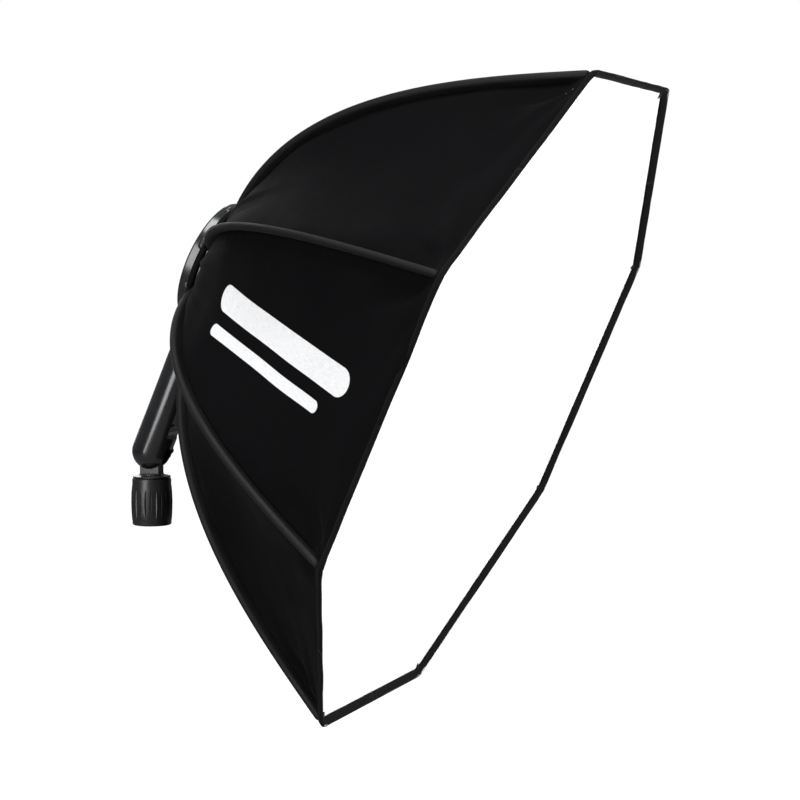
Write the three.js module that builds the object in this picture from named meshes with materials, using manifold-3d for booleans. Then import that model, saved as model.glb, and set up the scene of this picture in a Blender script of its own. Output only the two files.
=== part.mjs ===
// Studio softbox: an eight-sided folding shell on sprung ribs, with a hub, a tilting arm and a stand socket.
// Millimetres, +Z up. Origin on the stand stud's axis at the bottom of the socket; the softbox faces -Y.
import * as THREE from "three";
import { mergeVertices } from "three/addons/utils/BufferGeometryUtils.js";
import Module from "manifold-3d";

const wasm = await Module();
wasm.setup();
const { Manifold } = wasm;

// ---------------------------------------------------------------- driving dimensions
const RIM_ACROSS_FLATS = 700; // outer width of the front rim, flat to flat
const SIDES = 8;
const TILT = 23.4; // degrees the front faces below the horizon at rest
const PIVOT_Z = 81; // height of the tilt axis above the socket's bottom
const PIVOT_DROP = 217; // tilt axis below the softbox axis, measured across it
const PIVOT_BACK = 334.5; // tilt axis behind the front plane

const CLOTH = 0.9; // shell fabric with its lining
const BAND = 8.3; // folded hem around the diffuser, corner to corner
const RIM_PROUD = 3.5; // rim in front of the diffuser
const DIFFUSER = 0.8;
const SAG = 15; // how far a panel is drawn in between two ribs

const ROD_R = 2.5;
const SLEEVE_R = 4.8;
const SLEEVE_H = 8.5; // sleeve height above the panel

const HUB_R = 67.6;
const HUB_REAR = -349; // rear face, along the softbox axis from the front plane
const HUB_FRONT = -323;
const APERTURE_R = 41;
const HINGE_R = 58; // circle of the rib hinges
const WIRE_R = 1.05;

const ARM_R = 21;
const ARM_TOP_DROP = 77;
const ARM_TOP_BACK = 335.5;
const CHEEK = 7.9; // half the slot between the arm's two cheeks
const TONGUE = 6.6; // half the tongue's thickness
const BOLT_R = 4;

const STUD_BORE_R = 8.2; // for a 16 mm stand stud
const COLLAR_GROOVES = 24;
const GAP = 0.3;

const HALF = Math.PI / SIDES;
const COS = Math.cos(HALF);
const RIM_R = RIM_ACROSS_FLATS / 2 / COS; // rim corner radius
const INNER_R = RIM_R - BAND;
const deg = Math.PI / 180;

// ---------------------------------------------------------------- helpers
const V2 = (x, y) => new THREE.Vector2(x, y);
const V3 = (x, y, z) => new THREE.Vector3(x, y, z);
const smooth = (x) => {
  const c = Math.min(1, Math.max(0, x));
  return c * c * (3 - 2 * c);
};

function toManifold(geometry) {
  const bare = new THREE.BufferGeometry();
  const flat = geometry.index ? geometry.toNonIndexed() : geometry;
  bare.setAttribute("position", flat.getAttribute("position"));
  const merged = mergeVertices(bare, 1e-4);
  return new Manifold(
    new wasm.Mesh({
      numProp: 3,
      vertProperties: merged.attributes.position.array,
      triVerts: new Uint32Array(merged.index.array),
    }),
  );
}

function toGeometry(solid) {
  const mesh = solid.getMesh();
  const geometry = new THREE.BufferGeometry();
  geometry.setAttribute("position", new THREE.BufferAttribute(mesh.vertProperties, 3));
  geometry.setIndex(new THREE.BufferAttribute(mesh.triVerts, 1));
  return geometry;
}

const materials = {};
function material(name, colour, metalness, roughness) {
  materials[name] = new THREE.MeshStandardMaterial({ color: colour, metalness, roughness });
}
material("fabric", 0x1a1a1b, 0, 0.9);
material("diffuser", 0xf2f2f2, 0, 0.8);
material("gloss", 0x0c0d0e, 0, 0.25);
material("plastic", 0x1c1d1f, 0, 0.6);
material("metal", 0x9a9c9f, 1, 0.35);
material("dark", 0x2b2c2e, 1, 0.45);

function mesh(name, shape, kind) {
  const geometry = shape.isBufferGeometry ? shape : toGeometry(shape);
  geometry.computeVertexNormals();
  const made = new THREE.Mesh(geometry, materials[kind]);
  made.name = name;
  return made;
}

// A cylinder from one point to another.
function rod(from, to, r, sides = 24, r2 = r) {
  const axis = to.clone().sub(from);
  const g = new THREE.CylinderGeometry(r2, r, axis.length(), sides, 1);
  g.applyQuaternion(new THREE.Quaternion().setFromUnitVectors(V3(0, 1, 0), axis.clone().normalize()));
  g.translate(...from.clone().add(to).multiplyScalar(0.5).toArray());
  return toManifold(g);
}
const box = (w, d, h, x, y, z) => toManifold(new THREE.BoxGeometry(w, d, h).translate(x, y, z));
// A turned piece about Z from [radius, z] pairs that close on the axis or on themselves.
function turned(profile, segments = 48) {
  const g = new THREE.LatheGeometry(profile.map(([r, z]) => V2(r, z)), segments);
  g.rotateX(Math.PI / 2);
  const solid = toManifold(g);
  return solid.volume() < 0 ? toManifold(flipped(g)) : solid;
}
function flipped(geometry) {
  const g = geometry.index ? geometry.toNonIndexed() : geometry.clone();
  const p = g.getAttribute("position");
  for (let i = 0; i < p.count; i += 3) {
    const a = V3().fromBufferAttribute(p, i);
    const b = V3().fromBufferAttribute(p, i + 1);
    p.setXYZ(i, b.x, b.y, b.z);
    p.setXYZ(i + 1, a.x, a.y, a.z);
  }
  return g;
}
const ring = (r1, r2, z1, z2, segments = 48) =>
  turned([[r1, z1], [r2, z1], [r2, z2], [r1, z2], [r1, z1]], segments);
const torus = (r, tube, z, around = 48, section = 8) =>
  toManifold(new THREE.TorusGeometry(r, tube, section, around).translate(0, 0, z));
const all = (solids) => Manifold.union(solids);

// ---------------------------------------------------------------- rib profile, in one rib's plane
// x is the distance from the softbox axis and y the position along it; the front plane is y 0.
const edge = new THREE.CubicBezierCurve(
  V2(42, -339.5),
  V2(227.5, -321.5),
  V2(317, -124),
  V2(RIM_R, RIM_PROUD),
);
function station(t) {
  const p = edge.getPoint(t);
  const d = edge.getTangent(t);
  return { p, n: V2(d.y, -d.x) }; // n points out of the box
}
function atRadius(r, offset) {
  let lo = 0;
  let hi = 1;
  for (let i = 0; i < 40; i++) {
    const mid = (lo + hi) / 2;
    const { p, n } = station(mid);
    if (p.x - n.x * offset < r) lo = mid;
    else hi = mid;
  }
  return lo;
}
const rodPoint = (t) => {
  const { p, n } = station(t);
  return V3(p.x - n.x * SLEEVE_R, 0, p.y - n.y * SLEEVE_R);
};

const T_HINGE = atRadius(HINGE_R, SLEEVE_R);
const T_ROD = atRadius(HINGE_R + 5.3, SLEEVE_R);
const T_SOCKET = atRadius(HINGE_R + 13, SLEEVE_R);
const T_CLOTH = atRadius(74.5, SLEEVE_H);
const HINGE = rodPoint(T_HINGE);

// ---------------------------------------------------------------- rib pieces, radial direction along X
function ribRod() {
  const points = [];
  const count = 16;
  for (let i = 0; i <= count; i++) points.push(rodPoint(T_ROD + ((0.965 - T_ROD) * i) / count));
  const section = new THREE.Shape();
  section.absarc(0, 0, ROD_R, 0, Math.PI * 2);
  return new THREE.ExtrudeGeometry(section, {
    steps: count,
    curveSegments: 4,
    extrudePath: new THREE.CatmullRomCurve3(points),
    bevelEnabled: false,
  });
}

function ribKnuckle() {
  const out = rodPoint(T_SOCKET);
  const dir = out.clone().sub(HINGE).normalize();
  const along = (d) => HINGE.clone().addScaledVector(dir, d);
  const across = (y) => HINGE.clone().add(V3(0, y, 0));
  return rod(across(-4), across(4), 4.6, 16)
    .add(rod(HINGE, along(13.2), 4.1, 14))
    .subtract(rod(across(-6), across(6), WIRE_R + GAP, 8))
    .subtract(rod(along(4.7), along(16), ROD_R + 0.5, 12));
}

// One fabric gore, from the middle of one panel over a rib to the middle of the next.
function shellGore() {
  const rows = [T_CLOTH, 0.1, 0.19, 0.29, 0.4, 0.51, 0.62, 0.73, 0.84, 0.92, 0.97, 1];
  const across = [0.3, 0.64, 1];
  const outer = [];
  const inner = [];
  const put = (list, r, x, angle, z) =>
    list.push(V3(r * Math.cos(angle) - x * Math.sin(angle), r * Math.sin(angle) + x * Math.cos(angle), z));
  rows.forEach((t) => {
    const { p, n } = station(t);
    const h = SLEEVE_H * smooth((1 - t) / 0.16);
    const k = h / SLEEVE_H;
    const base = V2(p.x - n.x * h, p.y - n.y * h);
    const flat = smooth((t - T_CLOTH) / 0.22);
    const sag = SAG * Math.pow(Math.sin(Math.PI * smooth((t - T_CLOTH) / (1 - T_CLOTH))), 0.8);
    const atRim = t === 1;
    const rowOuter = [];
    const rowInner = [];
    const lift = (list, x, height) => put(list, base.x + n.x * height, x, 0, base.y + n.y * height);
    const panel = (list, v, side, drop) => {
      const angle = v * (HALF - 0.2 / base.x);
      const chord = (base.x * COS) / Math.cos(HALF - angle);
      const q = 1 - (1 - v) * (1 - v);
      const r = THREE.MathUtils.lerp(base.x, chord, flat);
      const in2 = sag * q + drop;
      if (atRim && drop) put(list, r - 1.4, 0, side * angle, RIM_PROUD - 2.4);
      else put(list, r - n.x * in2, 0, side * angle, base.y - n.y * in2);
    };
    [...across].reverse().forEach((v) => {
      panel(rowOuter, v, -1, 0);
      panel(rowInner, v, -1, CLOTH);
    });
    const hump = [
      [-5.4, 0, -4.4, -CLOTH],
      [-4.8, 3.7, -3.9, 3.7],
      [-3.4, 7.1, -2.8, 6.5],
      [0, SLEEVE_H, 0, SLEEVE_H - CLOTH],
      [3.4, 7.1, 2.8, 6.5],
      [4.8, 3.7, 3.9, 3.7],
      [5.4, 0, 4.4, -CLOTH],
    ];
    hump.forEach(([x, height, xi, hi]) => {
      lift(rowOuter, x, height * k);
      if (atRim) put(rowInner, base.x - 1.4, xi, 0, RIM_PROUD - 2.4);
      else lift(rowInner, xi, hi > 0 ? Math.max(hi * k - (1 - k) * CLOTH, -CLOTH) : -CLOTH);
    });
    across.forEach((v) => {
      panel(rowOuter, v, 1, 0);
      panel(rowInner, v, 1, CLOTH);
    });
    outer.push(rowOuter);
    inner.push(rowInner);
  });
  // the hem turns in and back to the diffuser
  const scale = INNER_R / RIM_R;
  const hem = outer[outer.length - 1].map((v) => V3(v.x * scale, v.y * scale, 0.4));
  outer.push(hem);
  inner.push(hem.map((v) => V3(v.x, v.y, 0.4 - CLOTH)));
  return sheetSolid(outer, inner);
}

// A closed solid between two grids of points.
function sheetSolid(outer, inner) {
  const tris = [];
  const rows = outer.length;
  const cols = outer[0].length;
  const quad = (a, b, c, d) => tris.push(a, b, c, a, c, d);
  for (let i = 0; i < rows - 1; i++) {
    for (let j = 0; j < cols - 1; j++) {
      quad(outer[i][j], outer[i][j + 1], outer[i + 1][j + 1], outer[i + 1][j]);
      quad(inner[i][j], inner[i + 1][j], inner[i + 1][j + 1], inner[i][j + 1]);
    }
    quad(outer[i][0], outer[i + 1][0], inner[i + 1][0], inner[i][0]);
    quad(outer[i][cols - 1], inner[i][cols - 1], inner[i + 1][cols - 1], outer[i + 1][cols - 1]);
  }
  for (let j = 0; j < cols - 1; j++) {
    quad(outer[0][j], inner[0][j], inner[0][j + 1], outer[0][j + 1]);
    const e = rows - 1;
    quad(outer[e][j], outer[e][j + 1], inner[e][j + 1], inner[e][j]);
  }
  const g = new THREE.BufferGeometry().setFromPoints(tris);
  return toManifold(g).volume() < 0 ? flipped(g) : g;
}

// One wedge of the front diffuser, its outer corner at the rib.
function diffuserWedge() {
  const side = GAP / 2 / COS;
  const reach = (INNER_R - 0.5) * COS;
  const shape = new THREE.Shape([
    V2(2, -(2 * Math.tan(HALF) - side)),
    V2(reach * COS, -(reach * Math.sin(HALF) - side)),
    V2(INNER_R - 0.5, 0),
    V2(reach * COS, reach * Math.sin(HALF) - side),
    V2(2, 2 * Math.tan(HALF) - side),
  ]);
  const g = new THREE.ExtrudeGeometry(shape, { depth: DIFFUSER, bevelEnabled: false });
  return g.translate(0, 0, -DIFFUSER - 0.4);
}

// ---------------------------------------------------------------- hub
const spokes = (make) =>
  Array.from({ length: SIDES }, (_, k) => make().rotate([0, 0, 90 + (k + 0.5) * (360 / SIDES)]));
const screwAngles = [45, 135, 225, 315];
const around = (r, degrees, z) => V3(r * Math.cos(degrees * deg), r * Math.sin(degrees * deg), z);
const SCREW_CIRCLE = 53.6;

function hubShell() {
  const wall = HUB_R - 3.8;
  const body = turned(
    [
      [44, HUB_REAR + 0.8],
      [44.8, HUB_REAR],
      [HUB_R - 2.4, HUB_REAR],
      [HUB_R - 0.7, HUB_REAR + 0.7],
      [HUB_R, HUB_REAR + 2.4],
      [HUB_R, HUB_FRONT - 0.8],
      [HUB_R - 0.8, HUB_FRONT],
      [wall, HUB_FRONT],
      [wall, HUB_REAR + 4],
      [44, HUB_REAR + 4],
      [44, HUB_REAR + 0.8],
    ],
    64,
  );
  const slots = spokes(() => box(12, 11, 30, HUB_R, 0, -341.5 + 15));
  const holes = screwAngles.flatMap((a) => [
    rod(around(SCREW_CIRCLE, a, HUB_REAR - 1), around(SCREW_CIRCLE, a, HUB_REAR + 6), 1.9, 12),
    rod(around(SCREW_CIRCLE, a, HUB_REAR - 1), around(SCREW_CIRCLE, a, HUB_REAR + 2.2), 3.2, 20),
  ]);
  return body.subtract(all([...slots, ...holes]));
}

function hubCore() {
  const body = ring(47.5, HUB_R - 4.2, HUB_REAR + 4.4, HUB_REAR + 20.4, 64);
  const slots = spokes(() => box(20, 9.2, 30, 62, 0, -339.4 + 15));
  const holes = screwAngles.map((a) =>
    rod(around(SCREW_CIRCLE, a, HUB_REAR + 3), around(SCREW_CIRCLE, a, HUB_REAR + 11.4), 1.8, 12),
  );
  return body.subtract(all([...slots, ...holes, torus(HINGE_R, WIRE_R + GAP, HINGE.z)]));
}

const apertureRing = () =>
  turned([
    [APERTURE_R, HUB_REAR + 0.4],
    [43.7, HUB_REAR + 0.4],
    [43.7, HUB_REAR + 20.8],
    [52.5, HUB_REAR + 20.8],
    [52.5, HUB_REAR + 22.4],
    [52, HUB_REAR + 22.8],
    [APERTURE_R + 1, HUB_REAR + 22.8],
    [APERTURE_R, HUB_REAR + 21.8],
    [APERTURE_R, HUB_REAR + 0.4],
  ]);

function hubScrew(angle) {
  const at = (z) => around(SCREW_CIRCLE, angle, HUB_REAR + z);
  return rod(at(0.2), at(1.9), 2.9, 20).add(rod(at(1.5), at(11), 1.5, 12));
}

// ---------------------------------------------------------------- arm, in the softbox frame
const ARM_END = V3(0, -PIVOT_DROP, -PIVOT_BACK);
const ARM_TOP = V3(0, -ARM_TOP_DROP, -ARM_TOP_BACK);
const armDir = ARM_TOP.clone().sub(ARM_END).normalize();
const armFront = V3(1, 0, 0).cross(armDir); // out of the arm, towards the shell
const onArm = (x, up, front) =>
  ARM_END.clone().add(V3(x, 0, 0)).addScaledVector(armDir, up).addScaledVector(armFront, front);
const armTurn = new THREE.Matrix4().makeBasis(V3(1, 0, 0), armDir, armFront).setPosition(ARM_END);
const FLAT = 16.6; // front flat, from the arm's axis
const armBox = (w, h, d, x, up, front) =>
  toManifold(new THREE.BoxGeometry(w, h, d).translate(x, up, front).applyMatrix4(armTurn));
const COVER = { low: 31, high: 111, width: 22, thick: 2.2 };
const armScrews = [
  [-7.5, 37],
  [7.5, 37],
  [-7.5, 105],
  [7.5, 105],
];

function armHousing() {
  const length = ARM_TOP.distanceTo(ARM_END);
  const capsule = new THREE.CapsuleGeometry(ARM_R, length, 10, 36, 1).translate(0, length / 2, 0);
  const body = toManifold(capsule.applyMatrix4(armTurn));
  const cheekSlot = rod(onArm(-CHEEK, 0, 0), onArm(CHEEK, 0, 0), 23.5, 40);
  const pivotHole = rod(onArm(-15, 0, 0), onArm(30, 0, 0), BOLT_R + GAP, 24);
  const knobSeat = rod(onArm(18.4, 0, 0), onArm(30, 0, 0), 13.4, 36);
  const frontFlat = armBox(60, 96, 20, 0, 71, FLAT + 10);
  const pocket = armBox(COVER.width + 0.8, COVER.high - COVER.low + 0.8, 5, 0, 71, FLAT - 0.1);
  const hubClear = rod(V3(0, 0, HUB_REAR - GAP), V3(0, 0, 0), HUB_R + 0.4, 96);
  // the shell cloth passes in front of the arm's upper end
  const clear = new THREE.Shape([V2(-40, -330), V2(-66, -330), V2(-150, -313), V2(-150, -250), V2(-40, -250)]);
  const clothClear = new THREE.ExtrudeGeometry(clear, { depth: 60, bevelEnabled: false });
  // shape x is up across the box and shape y is along its axis
  clothClear.applyMatrix4(
    new THREE.Matrix4().makeBasis(V3(0, 1, 0), V3(0, 0, 1), V3(1, 0, 0)).setPosition(-30, 0, 0),
  );
  const holes = armScrews.map(([x, up]) => rod(onArm(x, up, FLAT - 9), onArm(x, up, FLAT + 1), 1.3, 10));
  return body.subtract(
    all([cheekSlot, pivotHole, knobSeat, frontFlat, pocket, hubClear, toManifold(clothClear), ...holes]),
  );
}

function armCover() {
  const body = armBox(COVER.width, COVER.high - COVER.low, COVER.thick, 0, 71, FLAT - 1.2);
  return body.subtract(
    all(armScrews.map(([x, up]) => rod(onArm(x, up, FLAT - 5), onArm(x, up, FLAT + 3), 1.4, 12))),
  );
}

const armScrew = ([x, up]) =>
  rod(onArm(x, up, FLAT + 0.2), onArm(x, up, FLAT + 1.5), 2.4, 18, 1.9).add(
    rod(onArm(x, up, FLAT - 7), onArm(x, up, FLAT + 0.6), 1.0, 10),
  );

function tiltKnob() {
  const shape = new THREE.Shape();
  const count = 72;
  for (let i = 0; i < count; i++) {
    const a = (i / count) * Math.PI * 2;
    const r = 12.1 + 0.6 * Math.cos(9 * a);
    if (i) shape.lineTo(r * Math.cos(a), r * Math.sin(a));
    else shape.moveTo(r, 0);
  }
  const g = new THREE.ExtrudeGeometry(shape, {
    depth: 7.6,
    bevelThickness: 1.2,
    bevelSize: 1.2,
    bevelOffset: -1.2,
    bevelSegments: 2,
  });
  g.applyMatrix4(new THREE.Matrix4().makeBasis(armDir, armFront, V3(1, 0, 0)).setPosition(onArm(22.2, 0, 0)));
  return toManifold(g).subtract(rod(onArm(15, 0, 0), onArm(25.6, 0, 0), BOLT_R + GAP, 24));
}

const armWasher = (x, thick, r) =>
  rod(onArm(x, 0, 0), onArm(x + thick, 0, 0), r, 32).subtract(
    rod(onArm(x - 1, 0, 0), onArm(x + thick + 1, 0, 0), BOLT_R + 0.4, 24),
  );

// ---------------------------------------------------------------- stand socket, in the row frame
function standSocket() {
  const top = 51.9;
  const body = turned(
    [
      [0, 43],
      [10, 43],
      [10, 0],
      [12.9, 0],
      [12.9, 1.6],
      [12, 1.6],
      [12, 3.2],
      [12.9, 3.2],
      [12.9, top],
      [20, top],
      [20.8, top + 0.7],
      [20.2, top + 1.7],
      [14.4, top + 2.9],
      [13, top + 4.4],
      [0, top + 4.4],
    ],
    48,
  );
  const tongue = box(2 * TONGUE, 22, PIVOT_Z - 54, 0, 0, (PIVOT_Z + 54) / 2).add(
    rod(V3(-TONGUE, 0, PIVOT_Z), V3(TONGUE, 0, PIVOT_Z), 11, 36),
  );
  return body.add(tongue).subtract(rod(V3(-9, 0, PIVOT_Z), V3(9, 0, PIVOT_Z), BOLT_R + GAP, 24));
}

function lockCollar() {
  const profile = [
    [13.3, 51.3],
    [13.3, 4],
    [15.4, 4],
    [15.4, 0.4],
    [19.6, 0.4],
    [20.8, 1],
    [21.2, 2.4],
    [21.2, 5.2],
    [21.5, 6],
    [22.1, 14],
    [22.4, 25],
    [22.1, 36],
    [21.4, 43],
    [21.1, 44],
    [21.2, 49.8],
    [20.4, 51.3],
    [13.3, 51.3],
  ];
  const groove = (k) => {
    const a = ((k + 0.5) / COLLAR_GROOVES) * 360;
    const cut = new THREE.CapsuleGeometry(1.25, 30, 2, 6).rotateX(Math.PI / 2).translate(22.85, 0, 24.2);
    return toManifold(cut).rotate([0, 0, a]);
  };
  const cuts = Array.from({ length: COLLAR_GROOVES }, (_, k) => groove(k));
  return turned(profile, 48).subtract(all(cuts));
}

const colletLiner = () => ring(STUD_BORE_R, 9.7, 0.6, 36, 40).subtract(box(6, 2.4, 50, 9, 0, 18));
const collarRetainer = () => ring(12.3, 15.1, 1.9, 2.9, 40).subtract(box(8, 3, 5, -14, 0, 2.4));
const bracketWasher = (x) =>
  rod(V3(x, 0, PIVOT_Z), V3(x + 0.7, 0, PIVOT_Z), 10, 32).subtract(
    rod(V3(x - 1, 0, PIVOT_Z), V3(x + 2, 0, PIVOT_Z), BOLT_R + 0.4, 24),
  );

// ---------------------------------------------------------------- assembly
const softbox = new THREE.Group();
softbox.name = "studio_softbox";

softbox.add(
  mesh("stand_socket", standSocket(), "dark"),
  mesh("collet_liner", colletLiner(), "plastic"),
  mesh("collar_retainer", collarRetainer(), "metal"),
  mesh("lock_collar", lockCollar(), "plastic"),
  mesh("tilt_washer_left", bracketWasher(-TONGUE - 1), "metal"),
  mesh("tilt_washer_right", bracketWasher(TONGUE + GAP), "metal"),
);

// The head's own frame: X across, Y up across the box, Z forward along it; origin at the front plane's centre.
const head = new THREE.Group();
head.rotation.x = Math.PI / 2 + TILT * deg;
head.updateMatrix();
head.position.copy(V3(0, 0, PIVOT_Z).sub(ARM_END.clone().applyEuler(head.rotation)));
softbox.add(head);

head.add(
  mesh("arm_housing", armHousing(), "gloss"),
  mesh("arm_cover", armCover(), "plastic"),
  mesh("pivot_bolt", rod(onArm(-14, 0, 0), onArm(25.2, 0, 0), BOLT_R, 24), "metal"),
  mesh("knob_washer", armWasher(18.9, 1.6, 9.5), "metal"),
  mesh("tilt_knob", tiltKnob(), "plastic"),
  mesh("hub_shell", hubShell(), "gloss"),
  mesh("hub_core", hubCore(), "plastic"),
  mesh("hinge_wire", torus(HINGE_R, WIRE_R, HINGE.z), "metal"),
  mesh("aperture_ring", apertureRing(), "dark"),
);
armScrews.forEach((at, i) => head.add(mesh(`arm_screw_${i + 1}`, armScrew(at), "metal")));
screwAngles.forEach((a, i) => head.add(mesh(`hub_screw_${i + 1}`, hubScrew(a), "metal")));

const rodShape = ribRod();
const knuckleShape = toGeometry(ribKnuckle());
const goreShape = shellGore();
const wedgeShape = diffuserWedge();
for (let k = 0; k < SIDES; k++) {
  const rib = new THREE.Group();
  rib.rotation.z = Math.PI / 2 + (2 * k + 1) * HALF;
  rib.add(
    mesh(`rib_rod_${k + 1}`, rodShape.clone(), "metal"),
    mesh(`rib_knuckle_${k + 1}`, knuckleShape.clone(), "dark"),
    mesh(`shell_gore_${k + 1}`, goreShape.clone(), "fabric"),
    mesh(`diffuser_wedge_${k + 1}`, wedgeShape.clone(), "diffuser"),
  );
  head.add(rib);
}

export default softbox;
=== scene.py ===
import math

import bpy
import numpy as np
from mathutils import Matrix, Vector


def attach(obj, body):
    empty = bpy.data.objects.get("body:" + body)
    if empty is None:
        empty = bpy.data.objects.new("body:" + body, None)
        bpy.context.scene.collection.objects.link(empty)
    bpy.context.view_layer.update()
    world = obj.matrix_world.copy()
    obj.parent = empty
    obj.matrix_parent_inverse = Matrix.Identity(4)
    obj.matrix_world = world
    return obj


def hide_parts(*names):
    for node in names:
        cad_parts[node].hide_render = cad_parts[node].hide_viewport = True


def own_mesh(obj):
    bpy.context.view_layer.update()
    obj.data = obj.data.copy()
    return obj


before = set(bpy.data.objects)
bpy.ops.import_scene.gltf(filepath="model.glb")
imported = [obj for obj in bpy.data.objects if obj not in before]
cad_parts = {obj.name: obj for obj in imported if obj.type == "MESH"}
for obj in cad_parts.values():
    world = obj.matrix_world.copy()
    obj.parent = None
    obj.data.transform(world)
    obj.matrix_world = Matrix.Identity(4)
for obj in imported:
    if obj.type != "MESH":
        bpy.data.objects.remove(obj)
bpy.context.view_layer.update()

# ---------------------------------------------------------------- driving dimensions, as in the CAD
SIDES = 8
HALF = math.pi / SIDES  # half the angle between two ribs
TILT = math.radians(23.4)  # how far the front faces down at rest
PIVOT_Z = 0.081  # the tilt axis above the stand socket's base
PIVOT_DROP = 0.217  # from the box's axis down to the tilt axis
PIVOT_BACK = 0.3345  # from the tilt axis forward to the front
RIM_R = 0.350 / math.cos(HALF)  # to the front's corners
RIM_PROUD = 0.0035  # the rim's depth ahead of the diffuser
BAND = 0.0083  # the hem's width on the front
INNER_R = RIM_R - BAND
HINGE_R = 0.058
HINGE_N = -0.3326
# the ribs' outer edge, as a Bezier curve of radius and depth
RIB_EDGE = np.array([[0.042, -0.3395], [0.2275, -0.3215], [0.317, -0.124], [RIM_R, RIM_PROUD]])

# ---------------------------------------------------------------- dimensions of the cloth pieces
CLOTH = 0.0009  # thickness
DIFFUSER = 0.0008  # thickness
DIFFUSER_TUCK = 0.0008  # how far the diffuser runs in behind the hem
DIFFUSER_DEPTH = 0.0028  # how far its edge lies behind the front
DIFFUSER_SLACK = 0.0012
SAG = 0.015  # of the cloth between two ribs
SLEEVE_R = 0.0038  # half the sleeve's width
SLEEVE_H = 0.0085  # from the rib's outer edge in to the cloth
SLEEVE_STEM = 0.0022  # how far the sleeve's foot reaches past that
SLEEVE_FADE = 0.16  # the share of the rib over which the cloth comes up to the rim
CLOTH_START_R = 0.0745
CORNER_ROUND = 0.020
VALLEY_FADE = 0.05  # the cloth's valley under a sleeve ends over this share of the rib,
VALLEY_START = 0.018  # and this share before the rim
VALLEY_WIDTH = 0.011
HUB_BAND_R = 0.0693
HUB_BAND_N = -0.001
HUB_BAND_GAP = 0.0046  # half the room left for a rib's end
HUB_BAND_HALF = (0.0018, 0.0034)  # half its size outward and forward
HUB_BAND_TIP = 0.002  # length of its rounded ends
EAR_R, EAR_N = 0.0664, -0.3390  # middle of the lugs on the hub
EAR_HALF = (0.0042, 0.0047, 0.0074)  # half their size outward, forward and across the rib

# ---------------------------------------------------------------- the softbox's own frame: across, up, forward
ACROSS = np.array([1.0, 0.0, 0.0])
UP = np.array([0.0, -math.sin(TILT), math.cos(TILT)])
FORWARD = np.array([0.0, -math.cos(TILT), -math.sin(TILT)])
FRONT_CENTRE = np.array([0.0, 0.0, PIVOT_Z]) + PIVOT_DROP * UP + PIVOT_BACK * FORWARD


def place(across, up, forward):
    """Points of the softbox's frame in the row frame; the last axis of the result is x, y, z."""
    across, up, forward = np.broadcast_arrays(across, up, forward)
    return FRONT_CENTRE + across[..., None] * ACROSS + up[..., None] * UP + forward[..., None] * FORWARD


def rib_angle(rib):
    return math.pi / 2 + (2 * rib - 1) * HALF


def place_on_rib(rib, r, side, forward):
    """Points given by their distance from the axis along a rib, their offset to its side and their depth."""
    a = rib_angle(rib)
    return place(r * math.cos(a) - side * math.sin(a), r * math.sin(a) + side * math.cos(a), forward)


def smooth(x):
    x = np.clip(x, 0.0, 1.0)
    return x * x * (3 - 2 * x)


def station(t):
    """The rib's outer edge at t and the direction out of the box, both in the rib's plane."""
    t = np.atleast_1d(np.asarray(t, float))[:, None]
    a, b, c, d = RIB_EDGE
    point = (1 - t) ** 3 * a + 3 * (1 - t) ** 2 * t * b + 3 * (1 - t) * t**2 * c + t**3 * d
    slope = (1 - t) ** 2 * (b - a) + 2 * (1 - t) * t * (c - b) + t**2 * (d - c)
    slope /= np.linalg.norm(slope, axis=1)[:, None]
    return point, np.stack([slope[:, 1], -slope[:, 0]], axis=1)


def station_at_radius(r, offset):
    """The t where a line that far inside the rib's outer edge passes radius r."""
    t = np.linspace(0, 1, 4001)
    point, out = station(t)
    return float(np.interp(r, point[:, 0] - out[:, 0] * offset, t))


T_CLOTH = station_at_radius(CLOTH_START_R, SLEEVE_H)


# ---------------------------------------------------------------- meshes
def build(name, points, faces, materials, index=None, uv=None, normals=None, flat_from=None):
    """A mesh object. uv is given at the points; faces from number flat_from on are shaded flat."""
    mesh = bpy.data.meshes.new(name)
    mesh.from_pydata(np.asarray(points).reshape(-1, 3).tolist(), [], [list(map(int, f)) for f in faces])
    for m in materials:
        mesh.materials.append(m)
    if index is not None:
        mesh.polygons.foreach_set("material_index", index)
    soft = len(faces) if flat_from is None else flat_from
    mesh.polygons.foreach_set("use_smooth", [i < soft for i in range(len(faces))])
    corner = np.zeros(len(mesh.loops), np.int32)
    mesh.loops.foreach_get("vertex_index", corner)
    for layer, values in (uv or {}).items():
        mesh.uv_layers.new(name=layer).data.foreach_set("uv", values[corner].astype(np.float32).ravel())
    mesh.update()
    if normals is not None:
        mesh.normals_split_custom_set(normals(mesh, corner).tolist())
    made = bpy.data.objects.new(name, mesh)
    bpy.context.scene.collection.objects.link(made)
    return made


def grid_quads(rows, cols, first=0, flip=False):
    i, j = np.meshgrid(np.arange(rows - 1), np.arange(cols - 1), indexing="ij")
    a = (first + i * cols + j).ravel()
    quads = np.stack([a, a + 1, a + cols + 1, a + cols], axis=1)
    return quads[:, ::-1] if flip else quads


def rim_quads(rows, cols):
    """The quads that join the edges of two grids of the same size, the second one inside the first."""
    inner = rows * cols
    top = np.arange(cols)
    bottom = (rows - 1) * cols + top
    left = np.arange(rows) * cols
    right = left + cols - 1
    sides = [(top, True), (bottom, False), (left, False), (right, True)]
    quads = []
    for line, flip in sides:
        strip = np.stack([line[:-1], line[:-1] + inner, line[1:] + inner, line[1:]], axis=1)
        quads.append(strip[:, ::-1] if flip else strip)
    return np.concatenate(quads)


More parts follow.
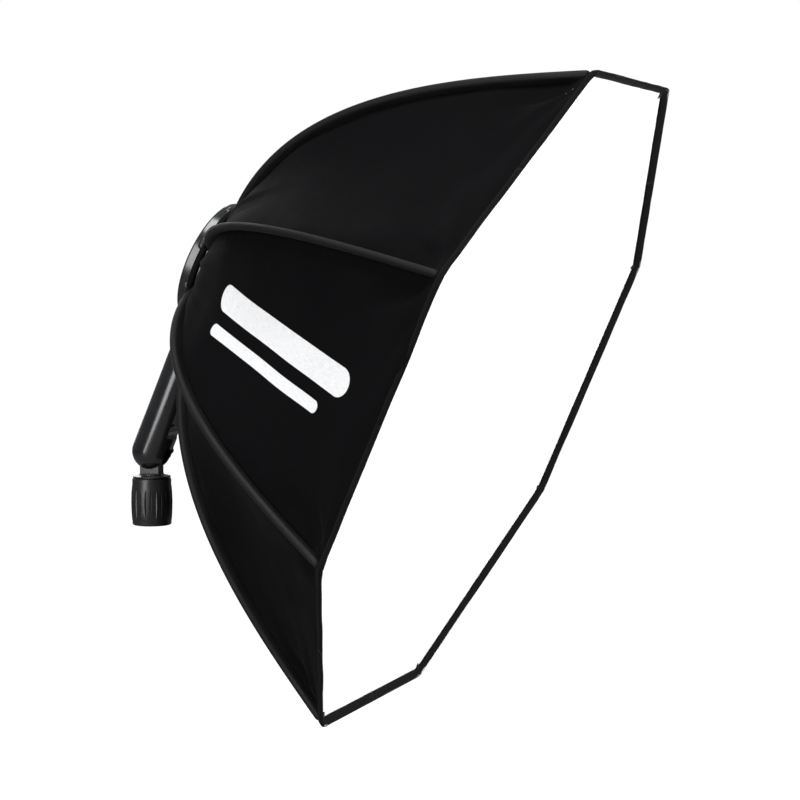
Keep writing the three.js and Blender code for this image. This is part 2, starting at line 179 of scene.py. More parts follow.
def cloth_piece(name, outer, normal, thickness, materials, uv, outer_index=None):
    """A closed sheet from a grid of points: an outer layer, an inner layer and the cut edge between them."""
    rows, cols = outer.shape[:2]
    inner = outer - normal * thickness
    points = np.concatenate([outer.reshape(-1, 3), inner.reshape(-1, 3)])
    front = grid_quads(rows, cols)
    back = grid_quads(rows, cols, rows * cols, flip=True)
    rim = rim_quads(rows, cols)
    faces = np.concatenate([front, back, rim])
    index = np.zeros(len(faces), np.int32)
    if outer_index is not None:
        index[: len(front)] = outer_index
    index[len(front) : len(front) + len(back)] = 1
    flat = normal.reshape(-1, 3)

    def corners(mesh, corner):
        own = np.zeros(len(mesh.polygons) * 3)
        mesh.polygons.foreach_get("normal", own)
        out = np.repeat(own.reshape(-1, 3), 4, axis=0)
        soft = 4 * len(front)
        out[:soft] = flat[corner[:soft]]
        out[soft : 2 * soft] = -flat[corner[soft : 2 * soft] - rows * cols]
        return out

    both = {layer: np.concatenate([v.reshape(-1, 2)] * 2) for layer, v in uv.items()}
    return build(name, points, faces, materials, index, both, corners, len(front) + len(back))


def tube(name, sections, material, start=0.0):
    """A closed tube through rings of points. start is where its texture coordinates begin along it."""
    rows, count = sections.shape[:2]
    quads = []
    for i in range(rows - 1):
        for j in range(count):
            k = (j + 1) % count
            quads.append([i * count + j, i * count + k, (i + 1) * count + k, (i + 1) * count + j])
    points = sections.reshape(-1, 3)
    caps = [list(range(count))[::-1], [(rows - 1) * count + j for j in range(count)]]
    lengths = np.linalg.norm(np.diff(sections.mean(1), axis=0), axis=1)
    along = start + np.concatenate([[0], np.cumsum(lengths)])
    ring = np.linalg.norm(np.roll(sections, -1, axis=1) - sections, axis=2).mean(0)
    around = np.concatenate([[0], np.cumsum(ring[:-1])])
    uv = np.stack(np.meshgrid(around, along), axis=-1).reshape(-1, 2)
    return build(name, points, quads + caps, [material], uv={"cloth": uv}, flat_from=len(quads))


# ---------------------------------------------------------------- materials
class Graph:
    """A short way to write a material's nodes."""

    def __init__(self, name, **constants):
        self.material = bpy.data.materials.new(name)
        self.material.use_nodes = True
        self.tree = self.material.node_tree
        self.shader = self.tree.nodes["Principled BSDF"]
        for socket, value in constants.items():
            self.shader.inputs[socket.replace("_", " ")].default_value = value

    def node(self, kind, inputs=None, **settings):
        made = self.tree.nodes.new("ShaderNode" + kind)
        for key, value in settings.items():
            setattr(made, key, value)
        for key, value in (inputs or {}).items():
            self.put(made.inputs[key], value)
        return made

    def put(self, socket, value):
        if isinstance(value, bpy.types.NodeSocket):
            self.tree.links.new(value, socket)
        else:
            socket.default_value = value

    def math(self, operation, a, b=0.0):
        return self.node("Math", {0: a, 1: b}, operation=operation).outputs[0]

    def noise(self, where, scale, detail=2.0, roughness=0.5, distortion=0.0):
        inputs = {"Vector": where, "Scale": scale, "Detail": detail, "Roughness": roughness}
        inputs["Distortion"] = distortion
        return self.node("TexNoise", inputs).outputs["Fac"]

    def span(self, value, low, high, start=0.3, end=0.7):
        inputs = {"Value": value, "From Min": start, "From Max": end, "To Min": low, "To Max": high}
        return self.node("MapRange", inputs).outputs[0]

    def mix(self, share, a, b):
        made = self.node("Mix", data_type="RGBA")
        self.put(made.inputs["Factor"], share)
        self.put(made.inputs[6], a)
        self.put(made.inputs[7], b)
        return made.outputs[2]

    def bump(self, height, distance, strength=1.0, below=None):
        made = self.node("Bump", {"Height": height, "Distance": distance, "Strength": strength})
        if below is not None:
            self.put(made.inputs["Normal"], below)
        return made.outputs[0]

    def scaled(self, where, by):
        return self.node("Mapping", {"Vector": where, "Scale": by}).outputs[0]

    def set(self, **sockets):
        for socket, value in sockets.items():
            self.put(self.shader.inputs[socket.replace("_", " ")], value)
        return self.material


def grey(level, blue=0.0):
    return (level, level, level * (1 + blue), 1.0)


def cloth_material(
    name, low, high, blue, pitch, sheen, rough=(0.72, 0.9), crease=0.0005, shine=0.06, prints=()
):
    """Woven cloth. pitch is the thread spacing; crease is the height of the fine creases."""
    g = Graph(name, Sheen_Weight=sheen, Sheen_Roughness=0.32, Specular_IOR_Level=shine)
    uv = g.node("UVMap", uv_map="cloth").outputs[0]
    axes = g.node("SeparateXYZ", {0: uv}).outputs
    threads = [g.math("SINE", g.math("MULTIPLY", axes[i], math.pi / pitch)) for i in (0, 1)]
    weave = g.math("MULTIPLY", threads[0], threads[1])
    patches = g.noise(uv, 14.0, 4.0, 0.55)
    slubs = g.noise(g.scaled(uv, (900.0, 120.0, 1.0)), 1.0, 2.0)
    creases = g.noise(g.scaled(uv, (38.0, 16.0, 1.0)), 1.0, 5.0, 0.62, 0.6)
    colour = g.mix(g.span(patches, 0.0, 1.0), grey(low, blue), grey(high, blue * 0.6))
    worn = g.math("MULTIPLY", g.span(slubs, 0.0, 1.0, 0.45, 0.8), 0.35)
    colour = g.mix(worn, colour, grey(high * 1.6, blue * 0.4))
    roughness = g.span(patches, *rough)
    if prints:
        mask = None
        for side, along, wide, long in prints:
            one = bar_mask(g, axes, side, along, wide, long)
            mask = one if mask is None else g.math("MAXIMUM", mask, one)
        ink = g.mix(g.span(slubs, 0.0, 1.0), grey(0.72), grey(0.86))
        colour = g.mix(mask, colour, ink)
    normal = g.bump(creases, crease, 0.9)
    normal = g.bump(weave, 0.00012, 0.5, normal)
    return g.set(Base_Color=colour, Roughness=roughness, Normal=normal)


def bar_mask(g, axes, side, along, wide, long):
    """1 inside a plain bar with round ends that lies along the print panel, and 0 outside it."""
    radius = wide / 2
    off = g.math("ABSOLUTE", g.math("SUBTRACT", axes[1], along))
    past = g.math("MAXIMUM", g.math("SUBTRACT", off, long / 2 - radius), 0.0)
    beside = g.math("SUBTRACT", axes[0], PRINT_PANEL * PANEL_STEP + side)
    square = g.math("ADD", g.math("MULTIPLY", past, past), g.math("MULTIPLY", beside, beside))
    return g.span(g.math("SQRT", square), 1.0, 0.0, radius - 0.0002, radius + 0.0002)


def solid_material(name, colour, metallic, rough, grain, grain_height, coat=0.0, wear=0.0, blue=0.0):
    """Moulded plastic or coated metal, in the part's own coordinates. grain is features per metre."""
    g = Graph(name, Metallic=metallic, Coat_Weight=coat, Coat_Roughness=0.12)
    where = g.node("TexCoord").outputs["Object"]
    cloud = g.noise(where, 45.0, 4.0, 0.6)
    fine = g.noise(where, grain, 3.0, 0.6)
    scuffs = g.noise(g.scaled(where, (90.0, 90.0, 18.0)), 1.0, 6.0, 0.7, 0.4)
    tone = g.mix(g.span(cloud, 0.0, 1.0), grey(colour * 0.85, blue), grey(colour * 1.2, blue))
    rubbed = g.math("MULTIPLY", g.span(scuffs, 0.0, 1.0, 0.58, 0.75), wear)
    tone = g.mix(rubbed, tone, grey(min(1.0, colour * 2.2 + 0.01), blue))
    roughness = g.math("ADD", g.span(cloud, *rough), g.math("MULTIPLY", rubbed, 0.2))
    normal = g.bump(fine, grain_height, 0.6)
    return g.set(Base_Color=tone, Roughness=roughness, Normal=normal)


def brushed_material(name, colour, rough, stretch):
    """Machined or drawn steel with fine lines along one axis."""
    g = Graph(name, Metallic=1.0)
    where = g.node("TexCoord").outputs["Object"]
    lines = g.noise(g.scaled(where, stretch), 1.0, 3.0, 0.6)
    cloud = g.noise(where, 60.0, 3.0)
    tone = g.mix(g.span(lines, 0.0, 1.0), grey(colour * 0.8), grey(colour * 1.1, 0.02))
    normal = g.bump(lines, 0.00004, 0.5)
    return g.set(Base_Color=tone, Roughness=g.span(cloud, *rough), Normal=normal)


def lining_material():
    g = Graph("lining_silver", Metallic=0.85)
    uv = g.node("UVMap", uv_map="cloth").outputs[0]
    pips = g.node("TexVoronoi", {"Vector": uv, "Scale": 420.0}).outputs["Distance"]
    cloud = g.noise(uv, 30.0, 3.0)
    tone = g.mix(g.span(cloud, 0.0, 1.0), grey(0.42), grey(0.58))
    return g.set(Base_Color=tone, Roughness=g.span(cloud, 0.32, 0.5), Normal=g.bump(pips, 0.0003, 0.6))


def diffuser_material():
    g = Graph("diffuser_white", Specular_IOR_Level=0.25, Sheen_Weight=0.1)
    where = g.node("UVMap", uv_map="cloth").outputs[0]
    axes = g.node("SeparateXYZ", {0: where}).outputs
    threads = [g.math("SINE", g.math("MULTIPLY", axes[i], math.pi / 0.0007)) for i in (0, 1)]
    weave = g.math("MULTIPLY", threads[0], threads[1])
    cloud = g.noise(where, 5.0, 4.0, 0.6)
    folds = g.noise(g.scaled(where, (9.0, 4.0, 1.0)), 1.0, 4.0, 0.6, 1.2)
    tone = g.mix(g.span(cloud, 0.0, 1.0), (0.86, 0.862, 0.865, 1), (0.905, 0.905, 0.9, 1))
    normal = g.bump(folds, 0.002, 0.8)
    normal = g.bump(weave, 0.0001, 0.4, normal)
    return g.set(Base_Color=tone, Roughness=g.span(cloud, 0.75, 0.9), Normal=normal)


# ---------------------------------------------------------------- shell cloth
PER_SIDE = 22
ROWS = 104
BANDS = 7
PANEL_STEP = 0.8  # how far apart the panels lie in the texture coordinates
# radius and depth ahead of the cloth's start, where it turns in at the hub
ROLL = np.array([[0.0697, 0.0062], [0.0706, 0.0036], [0.0719, 0.0015], [0.0733, 0.0003]])
half_steps = (np.arange(PER_SIDE + 1) / PER_SIDE) ** 1.25
GORE_V = np.concatenate([-half_steps[:0:-1], half_steps])


def ripples(seed, x, y, waves, shortest, longest):
    """A smooth random height, mostly from -1 to 1, made of plane waves."""
    rng = np.random.default_rng(seed)
    total = 0.0
    for _ in range(waves):
        length = rng.uniform(shortest, longest)
        turn = rng.uniform(0, math.pi)
        phase = rng.uniform(0, 2 * math.pi)
        total = total + np.sin(2 * math.pi * (x * math.cos(turn) + y * math.sin(turn)) / length + phase)
    return total * math.sqrt(2 / waves) * 0.7


STREAKS = 0.0026  # height of the folds that run out from the hub
RAYS = 0.0026  # height of the folds that fan out from the rim's corners
POCKET = 0.0070  # depth of the hollow beside each rib's rim end


def panel_folds(panel, w, along, width, whole):
    """How far a panel's cloth stands out of its smooth shape. w runs from 0 at one rib to 1 at the next."""
    rng = np.random.default_rng(100 + panel)
    near = np.minimum(w, 1 - w) * width
    to_rim = whole - along
    lift = 0.0009 * ripples(panel, (w - 0.5) * width, along, 9, 0.07, 0.2)
    streaks = 0.0
    for waves in (2.0, 3.4, 5.3, 7.9):
        drift = rng.uniform(-0.25, 0.25)
        streaks = streaks + np.sin(2 * math.pi * (waves * (w + drift * along) + rng.uniform(0, 1))) / waves
    lift = lift + STREAKS * streaks * np.exp(-((along / 0.11) ** 2)) * np.sin(math.pi * w) ** 0.5
    for side in (w, 1 - w):
        x = side * width
        distance = np.hypot(x, to_rim)
        angle = np.arctan2(to_rim, x)
        rays = np.sin(rng.uniform(7, 9) * angle + rng.uniform(0, 6))
        rays = rays + 0.5 * np.sin(15 * angle + rng.uniform(0, 6))
        lift = lift + RAYS * rays * np.exp(-distance / 0.075) * (1 - np.exp(-distance / 0.02))
        lift = lift - POCKET * np.exp(-(((x - 0.017) / 0.014) ** 2) - ((to_rim - 0.042) / 0.036) ** 2)
        pull = np.sin(2 * math.pi * along / 0.019 + 2 * ripples(7 * panel, along, 0, 3, 0.1, 0.3))
        lift = lift + 0.0003 * pull * np.exp(-x / 0.012)
    scallops = np.sin(2 * math.pi * (w - 0.5) * width / 0.023 + rng.uniform(0, 6))
    lift = lift + 0.0004 * scallops * np.exp(-to_rim / 0.018)
    return lift * (1 - np.exp(-near / 0.005)) * (1 - np.exp(-((to_rim / 0.012) ** 2)))


def shell_rows():
    """Stations of the cloth's rows from hub to rim, a little closer together at both ends."""
    s = np.linspace(0, 1, ROWS)
    fine = np.linspace(T_CLOTH, 1, 2001)
    point = station(fine)[0]
    length = np.concatenate([[0], np.cumsum(np.linalg.norm(np.diff(point, axis=0), axis=1))])
    s = s - 0.06 * np.sin(2 * math.pi * s) / (2 * math.pi)
    return np.interp(s * length[-1], length, fine), s * length[-1]


def shell_grid():
    """Points, normals and texture coordinates of the whole shell, as rings of columns round the axis."""
    t, along = shell_rows()
    point, out = station(t)
    height = SLEEVE_H * smooth((1 - t) / SLEEVE_FADE)
    base = point - out * height[:, None]
    corner = CORNER_ROUND * (1 / math.cos(HALF) - 1)
    valley = corner + (SLEEVE_H + SLEEVE_STEM - corner) * smooth((1 - t - VALLEY_START) / VALLEY_FADE)
    flat = smooth((t - T_CLOTH) / 0.22)
    bow = np.sin(math.pi * smooth((t - T_CLOTH) / (1 - T_CLOTH)))
    sag = SAG * np.maximum(bow, 0.0) ** 0.8
    a = np.abs(GORE_V)[None, :] * HALF
    chord = base[:, :1] * math.cos(HALF) / np.cos(HALF - a)
    r = base[:, :1] * (1 - flat[:, None]) + chord * flat[:, None]
    width = 2 * base[:, 0] * math.sin(HALF)
    blocks, cloth_uv = [], []
    for rib in range(1, SIDES + 1):
        left = GORE_V < 0
        w = np.where(left, 1 + GORE_V / 2, GORE_V / 2)[None, :]
        lift = np.zeros((ROWS, len(GORE_V)))
        for panel, cols in (((rib - 2) % SIDES + 1, left), (rib, ~left)):
            folds = panel_folds(panel, w[:, cols], along[:, None], width[:, None], along[-1])
            lift[:, cols] = folds
        dip = sag[:, None] * (1 - (1 - np.abs(GORE_V)[None, :]) ** 2) - lift
        from_rib = np.abs(GORE_V)[None, :] * width[:, None] / 2
        dip = dip + (valley - height)[:, None] * np.exp(-((from_rib / VALLEY_WIDTH) ** 2))
        rr = r - out[:, :1] * dip
        nn = base[:, 1:] - out[:, 1:] * dip
        # the cloth turns in at the hub
        roll_r = np.repeat(ROLL[:, :1], len(GORE_V), axis=1)
        roll_n = nn[:1] + ROLL[:, 1:]
        rr = np.concatenate([roll_r, rr])
        nn = np.concatenate([roll_n, nn])
        angle = rib_angle(rib) + GORE_V * HALF
        blocks.append(place(rr * np.cos(angle), rr * np.sin(angle), nn)[:, :-1])
        full = np.concatenate([-0.008 + 0.002 * np.arange(len(ROLL)), along])
        wide = np.concatenate([np.full(len(ROLL), width[0]), width])[:, None]
        panel = np.where(left, (rib - 2) % SIDES + 1, rib)[None, :]
        across = (GORE_V[None, :] + np.where(left, 1, -1)) * wide / 2 + panel * PANEL_STEP
        cloth_uv.append(np.stack([across, np.broadcast_to(full[:, None], across.shape)], axis=-1))
    ring = np.concatenate(blocks, axis=1)
    d_col = np.roll(ring, -1, axis=1) - np.roll(ring, 1, axis=1)
    d_row = np.gradient(ring, axis=0)
    normal = np.cross(d_col, d_row)
    normal /= np.linalg.norm(normal, axis=-1, keepdims=True)
    return ring, normal, cloth_uv, t


def keep_of(r, n):
    """The share of its width that cloth at this radius and depth keeps when the ribs are folded."""
    out, ahead = r - HINGE_R, n - HINGE_N
    full = HINGE_R + (out - ahead) * math.cos(math.pi / 4)
    half = HINGE_R + out * math.cos(math.pi / 8) - ahead * math.sin(math.pi / 8)
    return np.maximum(full / r, 2 * half / r - 1)


def shell_cloth(fabric, printed, lining):
    ring, normal, cloth_uv, t = shell_grid()
    per_gore = len(GORE_V) - 1
    total_rows = len(ring)
    point = station(t)[0]
    keep = keep_of(point[:, 0], point[:, 1])
    steps = np.linspace(keep[0], keep[-1], BANDS + 1)
    cuts = [len(ROLL) + int(np.argmin(np.abs(keep - s))) for s in steps]
    cuts[0], cuts[-1] = 0, total_rows - 1
    for rib in range(1, SIDES + 1):
        cols = (np.arange(per_gore + 1) + (rib - 1) * per_gore) % ring.shape[1]
        for band in range(BANDS):
            rows = slice(cuts[band], cuts[band + 1] + 1)
            outer = ring[rows][:, cols]
            faces_across = np.zeros((outer.shape[0] - 1, per_gore), np.int32)
            if rib == PRINT_PANEL:
                faces_across[:, per_gore // 2 :] = 2
            if rib == PRINT_PANEL + 1:
                faces_across[:, : per_gore // 2] = 2
            uv = {"cloth": cloth_uv[rib - 1][rows]}
            materials = [fabric, lining, printed]
            name = f"shell_cloth_{rib}_{band + 1}"
            made = cloth_piece(name, outer, normal[rows][:, cols], CLOTH, materials, uv, faces_across.ravel())
            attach(made, f"rib_{rib}")
            foot = place_on_rib(rib, point[-1, 0], 0.0, point[-1, 1])
            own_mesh(made)
            if band == 0:
                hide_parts(f"shell_gore_{rib}")


# ---------------------------------------------------------------- rib sleeves
def sleeve_template():
    """Rings of points of one sleeve in the rib's plane: radius, offset to the side, depth."""
    t = np.linspace(station_at_radius(0.0755, SLEEVE_R), 0.983, 90)
    t = np.concatenate([t[:-1], t[-1] - (t[-1] - t[-2]) * np.array([0.75, 0.5, 0.3, 0.15, 0.05, 0.0])])
    point, out = station(t)
    length = np.concatenate([[0], np.cumsum(np.linalg.norm(np.diff(point, axis=0), axis=1))])
    nose = 0.0055
    at_rim = np.sqrt(np.clip(1 - np.clip(1 - (length[-1] - length) / nose, 0, 1) ** 2, 0.02, 1))
    turn = np.linspace(0, 2 * math.pi, 25)[:-1]
    # a round piping on a narrower foot, its seam tucked into the panels' valley
    side = SLEEVE_R * np.sin(turn) * (1 - 0.45 * smooth(-np.cos(turn)))
    top = 0.5 + 0.53 * np.cos(turn)
    rings = []
    for i in range(len(t)):
        wide = side * at_rim[i]
        stem = SLEEVE_STEM * (1 - top) ** 2 * at_rim[i]
        tall = SLEEVE_H * (0.5 + (top - 0.5) * at_rim[i]) + 0.0002 - stem
        base = point[i] - out[i] * SLEEVE_H
        rings.append(np.stack([base[0] + out[i, 0] * tall, wide, base[1] + out[i, 1] * tall], axis=1))
    return np.concatenate([hub_curl(rings[0]), np.array(rings)])


def hub_bands(material):
    """The black elastic edge of the cloth on the hub, in arcs that leave room for the rib ends."""
    height = station([T_CLOTH])[0][0, 1]
    outward, ahead = HUB_BAND_HALF
    turn = np.linspace(0, 2 * math.pi, 17)[:-1]
    reach = HALF - HUB_BAND_GAP / HUB_BAND_R
    arc = -reach * np.cos(np.linspace(0, math.pi, 29))
    to_end = (reach - np.abs(arc)) * HUB_BAND_R / HUB_BAND_TIP
    ends = np.sqrt(np.clip(1 - np.clip(1 - to_end, 0, 1) ** 2, 0.04, 1))
    for panel in range(1, SIDES + 1):
        rings = []
        for a, share in zip(arc + rib_angle(panel) + HALF, ends):
            r = HUB_BAND_R + outward * np.cos(turn) * share
            n = height + HUB_BAND_N + ahead * np.sin(turn) * share
            rings.append(place(r * math.cos(a), r * math.sin(a), n))
        made = tube(f"hub_edge_band_{panel}", np.array(rings), material)
        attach(made, "head")


def hub_ears(material):
    """Rounded lugs on the hub's side that close the rear end of each rib's slot."""
    turn = np.linspace(0, 2 * math.pi, 21)[:-1]
    outward, ahead, half = EAR_HALF
    side = -half * np.cos(np.linspace(0.06, math.pi - 0.06, 17))
    share = (1 - (np.abs(side) / 0.0075) ** 3.2) ** 0.5
    for rib in range(1, SIDES + 1):
        rings = []
        for across, size in zip(side, share):
            r = EAR_R + outward * np.cos(turn) * size
            n = EAR_N + ahead * np.sin(turn) * size
            rings.append(place_on_rib(rib, r, np.full_like(r, across), n))
        made = tube(f"hub_ear_{rib}", np.array(rings), material)
        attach(made, "head")


def hub_curl(first):
    """Where a sleeve ends it curls forward over the hub's side and closes in a rounded tip."""
    centre = first.mean(0)
    radius = 0.0062
    rounded = 4  # rings in the tip
    pivot = centre + np.array([0.0, 0.0, radius])
    rings = []
    for k, a in enumerate(np.linspace(math.radians(78), math.radians(7), 9)):
        size = 1.0 if k >= rounded else math.sqrt(1 - (1 - (k + 0.35) / rounded) ** 2)
        ring = (first - centre) * size
        c, s = math.cos(a), math.sin(a)
        r = ring[:, 0] * c + (ring[:, 2] - radius) * s
        n = (ring[:, 2] - radius) * c - ring[:, 0] * s
        rings.append(np.stack([pivot[0] + r, ring[:, 1], pivot[2] + n], axis=1))
    return np.array(rings)


def sleeves(material):
    template = sleeve_template()
    for rib in range(1, SIDES + 1):
        rings = place_on_rib(rib, template[..., 0], template[..., 1], template[..., 2])
        made = tube(f"rib_sleeve_{rib}", rings, material, start=rib * 0.6)
        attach(made, f"rib_{rib}")


# ---------------------------------------------------------------- front hem and diffuser
def perimeter(across_steps, arc_steps):
    """One rib's share of the rounded octagon at the rim: distance along the rib and offset to its side."""
    start = CORNER_ROUND * math.tan(HALF)
    side_half = RIM_R * math.sin(HALF)
    run = start + (side_half - start) * (np.arange(across_steps + 1) / across_steps) ** 1.1
    edge = np.stack([RIM_R - run * math.sin(HALF), run * math.cos(HALF)], axis=1)
    turn = np.linspace(-HALF, HALF, arc_steps)
    centre = RIM_R - CORNER_ROUND / math.cos(HALF)
    arc = np.stack([centre + CORNER_ROUND * np.cos(turn), CORNER_ROUND * np.sin(turn)], axis=1)
    mirrored = edge[::-1] * np.array([1, -1])
    return np.concatenate([mirrored[:-1], arc, edge[1:]])


def hem_section():
    """The folded tape round the front edge: how far in from the rim's corner, and how deep."""
    slope = RIB_EDGE[3] - RIB_EDGE[2]
    slope = slope / np.linalg.norm(slope)
    out = np.array([slope[1], -slope[0]])

    def on_shell(back, off):
        p = -slope * back + out * off
        return [-p[0], RIM_PROUD + p[1]]

    corners = [
        on_shell(0.0060, 0.0001),
        on_shell(0.0058, 0.0007),
        on_shell(0.0030, 0.0009),
        on_shell(0.0006, 0.0008),
        [-0.0001, RIM_PROUD + 0.0004],
        [0.0006, RIM_PROUD + 0.0006],
        [0.0022, RIM_PROUD + 0.0001],
        [0.0050, 0.0020],
        [BAND - 0.0012, 0.0002],
        [BAND - 0.0003, -0.0009],
        [BAND, -0.0022],
        [BAND - 0.0004, -0.0030],
        [0.0050, -0.0022],
        [0.0022, -0.0002],
        on_shell(0.0030, -0.0014),
        on_shell(0.0058, -0.0010),
    ]
    return np.array(corners)


def hem(material):
    section = hem_section()
    line = perimeter(26, 9)
    half_side = RIM_R * math.sin(HALF)
    rim = station([1.0])[0][0]
    lengths = np.concatenate([[0], np.cumsum(np.linalg.norm(np.diff(line, axis=0), axis=1))])
    from_mid = np.minimum(lengths, lengths[-1] - lengths)
    calm = smooth(from_mid / half_side * 3)
    for rib in range(1, SIDES + 1):
        wave = 0.00035 * ripples(40 + rib, lengths, 0.0, 5, 0.03, 0.12) * calm
        rings = []
        for (r, side), push in zip(line, wave):
            scale = (RIM_R - section[:, 0] - push) / RIM_R
            rings.append(np.stack([r * scale, side * scale, section[:, 1] + push * 0.6], axis=1))
        rings = np.array(rings)[:, ::-1]
        rings = place_on_rib(rib, rings[..., 0], rings[..., 1], rings[..., 2])
        made = tube(f"front_hem_{rib}", rings, material, start=rib * 2 * half_side)
        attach(made, f"rib_{rib}")
        foot = place_on_rib(rib, rim[0], 0.0, rim[1])
        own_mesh(made)


def diffuser_height(x, u):
    """Depth of the diffuser's front, a little slack, with soft folds that run in from the corners."""
    lift = 0.0005 * ripples(60, x, u, 12, 0.08, 0.3)
    for rib in range(1, SIDES + 1):
        a = rib_angle(rib)
        dx, du = x - INNER_R * math.cos(a), u - INNER_R * math.sin(a)
        distance = np.hypot(dx, du)
        angle = np.arctan2(dx * math.sin(a) - du * math.cos(a), -(dx * math.cos(a) + du * math.sin(a)))
        rays = np.sin(11 * angle + 1.7 * rib) + 0.5 * np.sin(19 * angle + rib)
        lift = lift + 0.0008 * rays * np.exp(-distance / 0.09) * (1 - np.exp(-distance / 0.03))
    reach = np.zeros_like(x)
    for side in range(SIDES):
        a = math.pi / 2 + side * 2 * HALF
        reach = np.maximum(reach, x * math.cos(a) + u * math.sin(a))
    inside = np.clip(INNER_R * math.cos(HALF) - reach, 0, None)
    return -DIFFUSER_DEPTH + (lift - DIFFUSER_SLACK) * (1 - np.exp(-inside / 0.02))


def diffuser(material):
    line = perimeter(20, 5) * ((INNER_R + DIFFUSER_TUCK) / RIM_R)
    share = np.linspace(0, 1, 40)[1:] ** 0.85
    share = np.concatenate([[0.0004], share])
    for rib in range(1, SIDES + 1):
        r = share[:, None] * line[:, 0][None, :]
        side = share[:, None] * line[:, 1][None, :]
        a = rib_angle(rib)
        x, u = r * math.cos(a) - side * math.sin(a), r * math.sin(a) + side * math.cos(a)
        depth = diffuser_height(x, u)
        d = 0.0005
        slope_x = (diffuser_height(x + d, u) - diffuser_height(x - d, u)) / (2 * d)
        slope_u = (diffuser_height(x, u + d) - diffuser_height(x, u - d)) / (2 * d)
        normal = FORWARD - slope_x[..., None] * ACROSS - slope_u[..., None] * UP
        normal /= np.linalg.norm(normal, axis=-1, keepdims=True)
        outer = place(x, u, depth)[::-1]
        uv = {"cloth": np.stack([x, u], axis=-1)[::-1]}
        made = cloth_piece(f"front_diffuser_{rib}", outer, normal[::-1], DIFFUSER, [material, material], uv)
        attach(made, f"diffuser_{rib}")
        foot = place_on_rib(rib, INNER_R, 0.0, -0.0008)
        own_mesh(made)
        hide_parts(f"diffuser_wedge_{rib}")


# ---------------------------------------------------------------- CAD pieces
def finish_cad(name, material, angle=35.0):
    """Gives a CAD node its material and smooth shading between its edges, without touching its vertices."""
    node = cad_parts[name]
    node.data.materials.clear()
    node.data.materials.append(material)
    own = node.data.attributes.get("custom_normal")
    if own is not None:
        node.data.attributes.remove(own)
    node.data.polygons.foreach_set("use_smooth", [True] * len(node.data.polygons))
    weld = node.modifiers.new("weld", "WELD")
    weld.merge_threshold = 0.00001
    split = node.modifiers.new("edges", "EDGE_SPLIT")
    split.split_angle = math.radians(angle)


def cad_materials(satin):
    shiny = dict(coat=0.35, wear=0.25, blue=0.15)
    gloss = solid_material("gloss_black", 0.010, 0.0, (0.16, 0.26), 900.0, 0.00003, **shiny)
    core = solid_material("core_plastic", 0.02, 0.0, (0.5, 0.65), 1800.0, 0.00008, wear=0.3)
    liner = solid_material("liner_plastic", 0.08, 0.0, (0.4, 0.55), 1400.0, 0.00006, wear=0.2)
    coated = solid_material("coated_metal", 0.02, 0.35, (0.24, 0.38), 1500.0, 0.00004, coat=0.2, wear=0.6)
    knuckle = solid_material("knuckle_metal", 0.035, 0.8, (0.35, 0.5), 1900.0, 0.00005, wear=0.6)
    ring = solid_material("anodised_ring", 0.03, 0.9, (0.3, 0.42), 2200.0, 0.00003, wear=0.3)
    blackened = solid_material("blackened_screw", 0.09, 1.0, (0.22, 0.35), 2400.0, 0.00003, wear=0.6)
    steel = brushed_material("steel", 0.55, (0.24, 0.4), (1500.0, 300.0, 300.0))
    spring = brushed_material("spring_steel", 0.42, (0.22, 0.36), (260.0, 260.0, 1700.0))
    finish_cad("arm_housing", gloss)
    finish_cad("hub_shell", gloss, 20.0)
    finish_cad("arm_cover", satin)
    finish_cad("lock_collar", satin, 30.0)
    finish_cad("tilt_knob", satin)
    finish_cad("hub_core", core)
    finish_cad("collet_liner", liner)
    finish_cad("stand_socket", coated, 28.0)
    finish_cad("aperture_ring", ring)
    for name in ("collar_retainer", "tilt_washer_left", "tilt_washer_right", "pivot_bolt", "knob_washer"):
        finish_cad(name, steel)
    finish_cad("hinge_wire", steel, 60.0)
    for k in range(1, 5):
        finish_cad(f"arm_screw_{k}", blackened)
        finish_cad(f"hub_screw_{k}", blackened)
    for rib in range(1, SIDES + 1):
        finish_cad(f"rib_rod_{rib}", spring, 60.0)
        finish_cad(f"rib_knuckle_{rib}", knuckle)


# ---------------------------------------------------------------- camera, light and floor
def camera():
    data = bpy.data.cameras.new("view")
    data.lens = 103.06
    data.sensor_width = 36.0
    data.clip_end = 50.0
    made = bpy.data.objects.new("view", data)
    bpy.context.scene.collection.objects.link(made)
    forward = Vector((0.93720, 0.34164, -0.07040)).normalized()
    right = Vector((0.34249, -0.93952, 0.00014)).normalized()
    up = right.cross(forward).normalized()
    turn = Matrix((right, up, -forward)).transposed().to_4x4()
    made.matrix_world = Matrix.Translation((-2.2309, -1.0999, 0.3104)) @ turn
    bpy.context.scene.camera = made


def area_light(name, where, target, size, power):
    data = bpy.data.lights.new(name, "AREA")
    data.shape = "RECTANGLE"
    data.size, data.size_y = size
    data.energy = power
    made = bpy.data.objects.new(name, data)
    bpy.context.scene.collection.objects.link(made)
    made.location = where
    made.rotation_euler = (Vector(target) - Vector(where)).to_track_quat("-Z", "Y").to_euler()


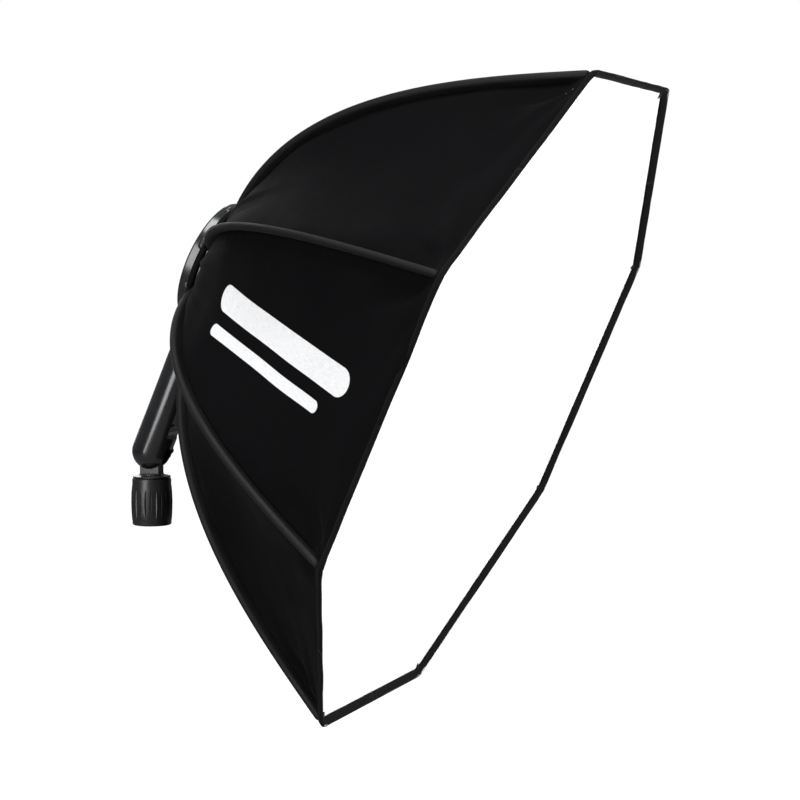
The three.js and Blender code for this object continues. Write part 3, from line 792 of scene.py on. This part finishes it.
def studio():
    scene = bpy.context.scene
    scene.view_settings.view_transform = "Standard"
    scene.view_settings.look = "None"
    world = bpy.data.worlds.new("studio")
    scene.world = world
    world.use_nodes = True
    nodes, links = world.node_tree.nodes, world.node_tree.links
    backdrop = nodes["Background"]
    backdrop.inputs[0].default_value = (1, 1, 1, 1)
    backdrop.inputs[1].default_value = 1.0
    dim = nodes.new("ShaderNodeBackground")
    dim.inputs[0].default_value = (0.9, 0.95, 1.0, 1)
    where = nodes.new("ShaderNodeTexCoord")
    height = nodes.new("ShaderNodeSeparateXYZ")
    level = nodes.new("ShaderNodeMapRange")
    level.inputs["From Min"].default_value = -0.4
    level.inputs["To Min"].default_value = 0.05
    level.inputs["To Max"].default_value = 0.35
    links.new(where.outputs["Generated"], height.inputs[0])
    links.new(height.outputs[2], level.inputs[0])
    links.new(level.outputs[0], dim.inputs[1])
    path = nodes.new("ShaderNodeLightPath")
    blend = nodes.new("ShaderNodeMixShader")
    links.new(path.outputs["Is Camera Ray"], blend.inputs[0])
    links.new(dim.outputs[0], blend.inputs[1])
    links.new(backdrop.outputs[0], blend.inputs[2])
    links.new(blend.outputs[0], nodes["World Output"].inputs[0])
    middle = (0.0, -0.25, 0.15)
    area_light("key", (-2.35, 0.65, 0.62), middle, (0.9, 2.3), 44.0)
    area_light("front", (-0.3, -3.0, -0.02), middle, (2.4, 1.15), 98.0)
    area_light("top", (-0.7, 0.1, 2.6), middle, (1.2, 1.2), 44.0)
    area_light("rim", (1.8, 1.4, 0.9), middle, (1.0, 1.6), 12.0)


def floor():
    size, level = 14.0, -0.62
    steps = 24
    x, y = np.meshgrid(np.linspace(-size, size, steps), np.linspace(-size, size, steps))
    points = np.stack([x, y, np.full_like(x, level)], axis=-1)
    g = Graph("floor_paper", Specular_IOR_Level=0.1)
    where = g.node("TexCoord").outputs["Object"]
    cloud = g.noise(where, 1.5, 3.0)
    tone = g.mix(g.span(cloud, 0.0, 1.0), grey(0.22), grey(0.25))
    seen = g.node("LightPath").outputs["Is Camera Ray"]
    g.put(g.shader.inputs["Emission Color"], (1, 1, 1, 1))
    g.set(Base_Color=tone, Roughness=g.span(cloud, 0.8, 0.9), Emission_Strength=seen)
    made = build("floor", points, grid_quads(steps, steps), [g.material])


# ---------------------------------------------------------------- the object
PRINT_PANEL = 2
PRINTS = [(-0.010, 0.275, 0.030, 0.257), (0.0265, 0.2635, 0.013, 0.219)]

camera()
studio()
floor()
black = dict(low=0.0018, high=0.0030, blue=0.25, pitch=0.0008, sheen=0.022, shine=0.045)
fabric = cloth_material("shell_fabric", **black)
printed = cloth_material("shell_fabric_print", **black, prints=PRINTS)
tape = cloth_material("binding_tape", 0.004, 0.007, 0.05, 0.0012, 0.03, crease=0.0002)
piping = cloth_material("sleeve_fabric", 0.0035, 0.0065, 0.0, 0.0010, 0.03, (0.5, 0.68), 0.0003, shine=0.22)
sleeves(piping)
hem(tape)
shell_cloth(fabric, printed, lining_material())
hub_bands(tape)
satin = solid_material("satin_black", 0.012, 0.0, (0.26, 0.4), 2600.0, 0.00005, wear=0.5, blue=0.08)
hub_ears(satin)
diffuser(diffuser_material())
cad_materials(satin)
